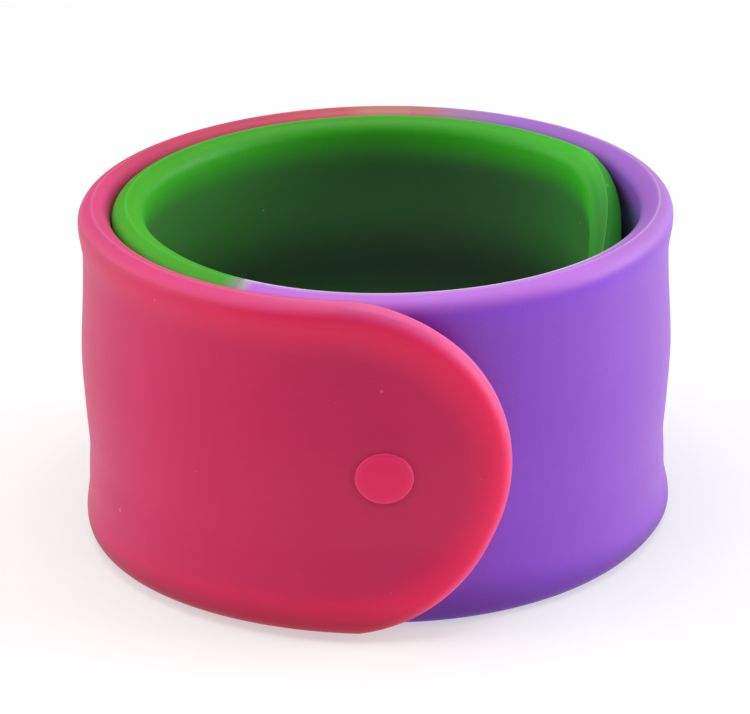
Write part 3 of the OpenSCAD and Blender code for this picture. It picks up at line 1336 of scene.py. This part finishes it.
@dataclass
class Bracelet:
    """The whole slap bracelet: it winds, dresses and places each piece."""

    band: Band = field(default_factory=Band)
    coil: Coil = field(default_factory=Coil)
    ridge_spread: float = 0.1

    def ridge_line(self, colour: Colour, share: float) -> HighlightLine:
        """Returns the light line on the parting ridge: partly the thin flash's paler tone, partly painted
        highlight.
        """
        return HighlightLine(colour, share, self.band.moulding.ridge_out, self.ridge_spread)

    def finishes(self) -> dict[str, SiliconeFinish]:
        """Chooses the pieces' finishes.

        Returns:
            The finish of each piece, by the name of its solid.
        """
        size = self.band.moulding
        pale_purple = (1.0, 0.82, 1.0)
        return {
            Section.PINK.value: SectionFinish(
                "pink_silicone",
                start=0.0,
                end=size.end_section,
                crown=CrownHighlight(widths=(1.0, 1.2)),
                lines=(self.ridge_line((0.95, 0.25, 0.45), 0.3),),
                tip_highlight=TipHighlight(),
                shades=(
                    PaintedFootShade(shade=0.44, heights=(2.9, 2.4), turn=Span(24.0, 34.0)),
                    PaintedCreaseShade(),
                    Halo(self.band.plug.inset),
                ),
            ),
            Section.PURPLE.value: SectionFinish(
                "purple_silicone",
                start=size.end_section,
                end=size.second_joint,
                crown=CrownHighlight(widths=(1.2, 1.5), deeper_inside=0.28),
                lines=(
                    self.ridge_line(pale_purple, 0.2),
                    # Painted highlight along the inner edge of the crown, which grows in between 116 and 130
                    # mm along.
                    HighlightLine(pale_purple, share=1.0, out=-0.5, spread=0.25, growth=Span(116.0, 130.0)),
                ),
                shades=(PaintedFootShade(shade=0.44, heights=(2.4, 4.2)),),
            ),
            Section.GREEN.value: SectionFinish(
                "green_silicone",
                start=size.second_joint,
                end=size.length,
                specular=0.32,
                sheen=0.03,
                lines=(self.ridge_line((0.22, 0.80, 0.16), 0.16),),
                shades=(PaintedFootShade(),),
            ),
            PLUG: PlugFinish("plug_silicone", centre=self.band.plug.inset),
        }

    def build(self) -> list[bpy.types.Object]:
        """Makes every piece, in place of its solid.

        Returns:
            The pieces.
        """
        tree = self.coil.tree()
        flats = {section.value: mesh for section, mesh in self.band.meshes().items()}
        flats[PLUG] = self.band.plug.mesh()
        finishes = self.finishes()
        pieces = {
            node: self.coil.wind(flat, f"{node}_silicone", finishes[node].make(), tree)
            for node, flat in flats.items()
        }
        self.centre([pieces[section.value] for section in Section], list(pieces.values()))
        for node, piece in pieces.items():
            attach(piece, ROOT)
            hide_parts(node)
            LOG.info("%s: %d faces", piece.name, len(piece.data.polygons))
        return list(pieces.values())

    @staticmethod
    def centre(outline: list[bpy.types.Object], pieces: list[bpy.types.Object]) -> None:
        """Moves the meshes so that the coil's outline lies round the origin, as its solids do.

        Args:
            outline: the pieces that make the outline.
            pieces: all the pieces, which move together.
        """
        points = np.array([corner[:] for piece in outline for corner in piece.bound_box])
        middle = (points.min(0) + points.max(0)) / 2
        for piece in pieces:
            piece.data.transform(Matrix.Translation((-middle[0], -middle[1], 0.0)))
            piece.data.update()


@dataclass(frozen=True)
class SoftBox:
    """A soft light panel that faces the bracelet. Distances are in millimetres, angles in degrees."""

    name: str
    azimuth: float
    elevation: float
    power: float
    width: float = 300.0
    height: float = 300.0
    distance: float = 450.0

    def make(self, target: Vector) -> bpy.types.Object:
        """Hangs the panel.

        Args:
            target: the point that it faces, in metres.

        Returns:
            The light.
        """
        data = bpy.data.lights.new(self.name, "AREA")
        data.shape = "RECTANGLE"
        data.size = self.width * MM
        data.size_y = self.height * MM
        data.energy = self.power
        light = bpy.data.objects.new(self.name, data)
        bpy.context.scene.collection.objects.link(light)
        turn, rise = math.radians(self.azimuth), math.radians(self.elevation)
        towards = Vector((math.cos(turn) * math.cos(rise), math.sin(turn) * math.cos(rise), math.sin(rise)))
        light.location = target + towards * self.distance * MM
        light.rotation_euler = towards.to_track_quat("Z", "Y").to_euler()
        return light


@dataclass
class Studio:
    """The plain floor, the soft light and the camera, in millimetres, degrees and the picture's pixels."""

    floor_size: float = 4000.0
    floor_colour: Colour = (0.54, 0.54, 0.54)
    floor_roughness: float = 0.9
    floor_specular: float = 0.1
    floor_glow: float = 0.50
    surround: float = 0.0
    panels: tuple[SoftBox, ...] = (
        SoftBox("top_panel", 0.0, 88.0, 1.27, 420.0, 300.0),
        SoftBox("left_high_panel", 180.0, 62.0, 0.29, 420.0, 250.0),
        SoftBox("left_panel", 180.0, 35.0, 0.31, 260.0, 250.0),
        SoftBox("left_low_panel", 180.0, 11.0, 0.34, 260.0, 150.0),
        SoftBox("left_front_panel", 210.0, 35.0, 0.20, 260.0, 250.0),
        SoftBox("left_back_panel", 150.0, 11.0, 0.23, 260.0, 150.0),
        SoftBox("right_panel", 0.0, 35.0, 0.44, 260.0, 250.0),
        SoftBox("right_low_panel", 0.0, 11.0, 1.05, 260.0, 150.0),
        SoftBox("right_back_panel", 30.0, 11.0, 0.26, 260.0, 150.0),
    )
    target: tuple[float, float, float] = (-0.104, 0.63, 11.923)
    camera_elevation: float = 23.2767
    camera_distance: float = 209.7173
    camera_roll: float = -0.954
    nearest: float = 10.0
    sensor_width: float = 36.0
    focal_pixels: float = 2758.64
    frame_pixels: int = 750

    def lay_floor(self) -> bpy.types.Object:
        """Lays the pale floor that the bracelet stands on.

        Returns:
            The floor.
        """
        half = self.floor_size / 2 * MM
        corners = [(-half, -half, 0), (half, -half, 0), (half, half, 0), (-half, half, 0)]
        mesh = bpy.data.meshes.new("floor")
        mesh.from_pydata(corners, [], [tuple(range(len(corners)))])
        floor = bpy.data.objects.new("floor", mesh)
        bpy.context.scene.collection.objects.link(floor)
        material = bpy.data.materials.new("pale_floor")
        material.use_nodes = True
        material.node_tree.nodes.clear()
        graph = Graph(material.node_tree)
        shader = graph.wire(
            "ShaderNodeBsdfPrincipled",
            Base_Color=(*self.floor_colour, 1.0),
            Roughness=self.floor_roughness,
            Specular_IOR_Level=self.floor_specular,
            Emission_Color=WHITE,
            Emission_Strength=self.floor_glow,
        )
        graph.node("ShaderNodeOutputMaterial", Surface=shader)
        mesh.materials.append(material)
        return floor

    def light(self) -> None:
        """Hangs the panels. The surround is set to give no light of its own."""
        world = bpy.data.worlds.new("surround")
        bpy.context.scene.world = world
        world.use_nodes = True
        background = world.node_tree.nodes["Background"]
        background.inputs["Color"].default_value = WHITE
        background.inputs["Strength"].default_value = self.surround
        for panel in self.panels:
            panel.make(Vector(self.target) * MM)

    def place_camera(self) -> bpy.types.Object:
        """Places the camera at the picture's angle.

        Returns:
            The camera.
        """
        data = bpy.data.cameras.new("camera")
        data.sensor_width = self.sensor_width
        data.lens = self.focal_pixels * self.sensor_width / self.frame_pixels
        data.clip_start = self.nearest * MM
        camera = bpy.data.objects.new("camera", data)
        bpy.context.scene.collection.objects.link(camera)
        rise = math.radians(self.camera_elevation)
        back = Vector((0.0, -math.cos(rise), math.sin(rise)))
        eye = Vector(self.target) * MM + back * self.camera_distance * MM
        roll = Matrix.Rotation(math.radians(self.camera_roll), 4, "Z")
        facing = back.to_track_quat("Z", "Y").to_matrix().to_4x4()
        camera.matrix_world = Matrix.Translation(eye) @ facing @ roll
        bpy.context.scene.camera = camera
        return camera


def main() -> None:
    """Builds the bracelet and its studio, and logs the count of faces of each piece."""
    logging.basicConfig(level=logging.INFO, format="%(name)s: %(message)s", stream=sys.stdout)
    bpy.context.scene.view_settings.view_transform = "Standard"
    studio = Studio()
    studio.place_camera()
    studio.light()
    studio.lay_floor()
    Bracelet().build()


if __name__ == "__main__":
    main()
